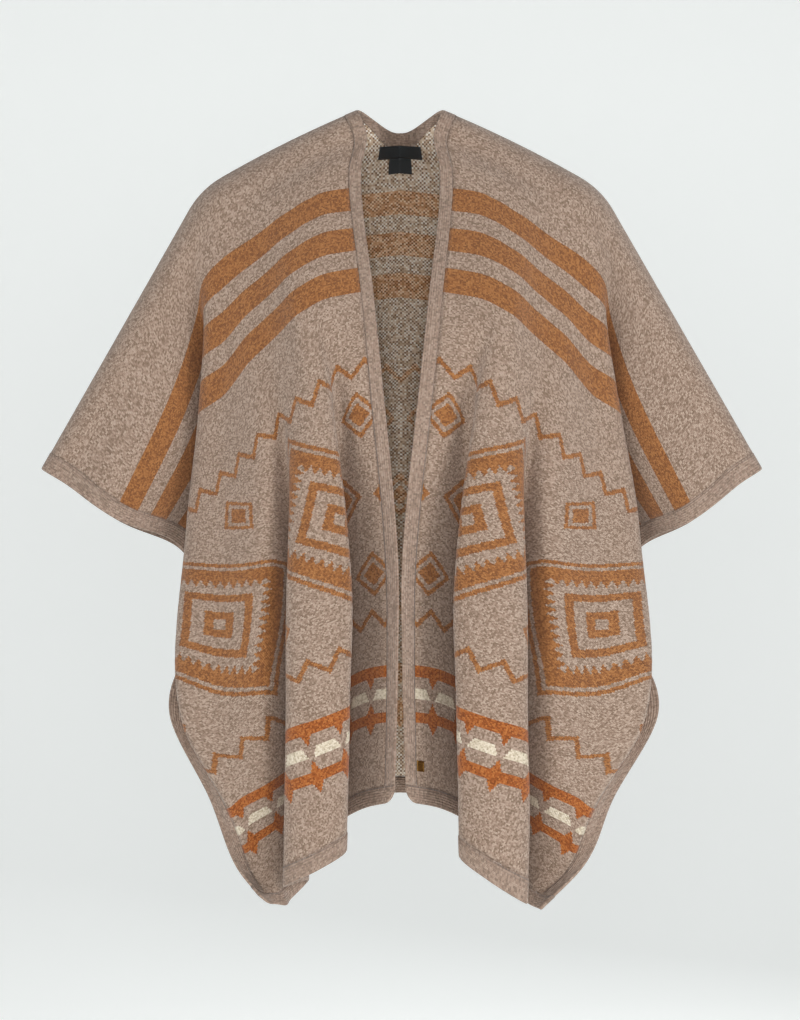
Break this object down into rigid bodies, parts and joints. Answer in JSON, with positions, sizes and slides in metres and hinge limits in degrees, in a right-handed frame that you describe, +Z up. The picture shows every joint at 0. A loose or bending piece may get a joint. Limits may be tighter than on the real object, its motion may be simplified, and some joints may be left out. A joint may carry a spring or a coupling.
{
  "type": "folk cape (knitted open-front ruana)",
  "caption": "Knitted open-front cape with wide open sides, hanging hollow from the shoulders with the arms held out.",
  "frame": {"origin": "midway between the two points where the neck meets the shoulders and 5 mm under the fold of the cloth, where the wearer's shoulders hold the cape up", "axes": "+Z up, -Y towards the open front, +X towards the wearer's left"},
  "size_m": [0.7624, 0.2963, 0.8416],
  "materials": {
    "knit": "matte",
    "rib_trim": "matte",
    "label_satin": "satin",
    "aged_brass": "satin"
  },
  "bodies": {
    "root": {"front_right": "knit", "front_band_right": "rib_trim", "front_side_band_right": "rib_trim", "back_side_band_right": "rib_trim", "front_hem_band_right": "rib_trim", "front_left": "knit", "front_band_left": "rib_trim", "front_side_band_left": "rib_trim", "back_side_band_left": "rib_trim", "front_hem_band_left": "rib_trim", "back": "knit", "neck_band": "rib_trim", "back_hem_band": "rib_trim", "main_label": "label_satin", "care_label": "label_satin", "metal_tag": "aged_brass"}
  },
  "joints": []
}
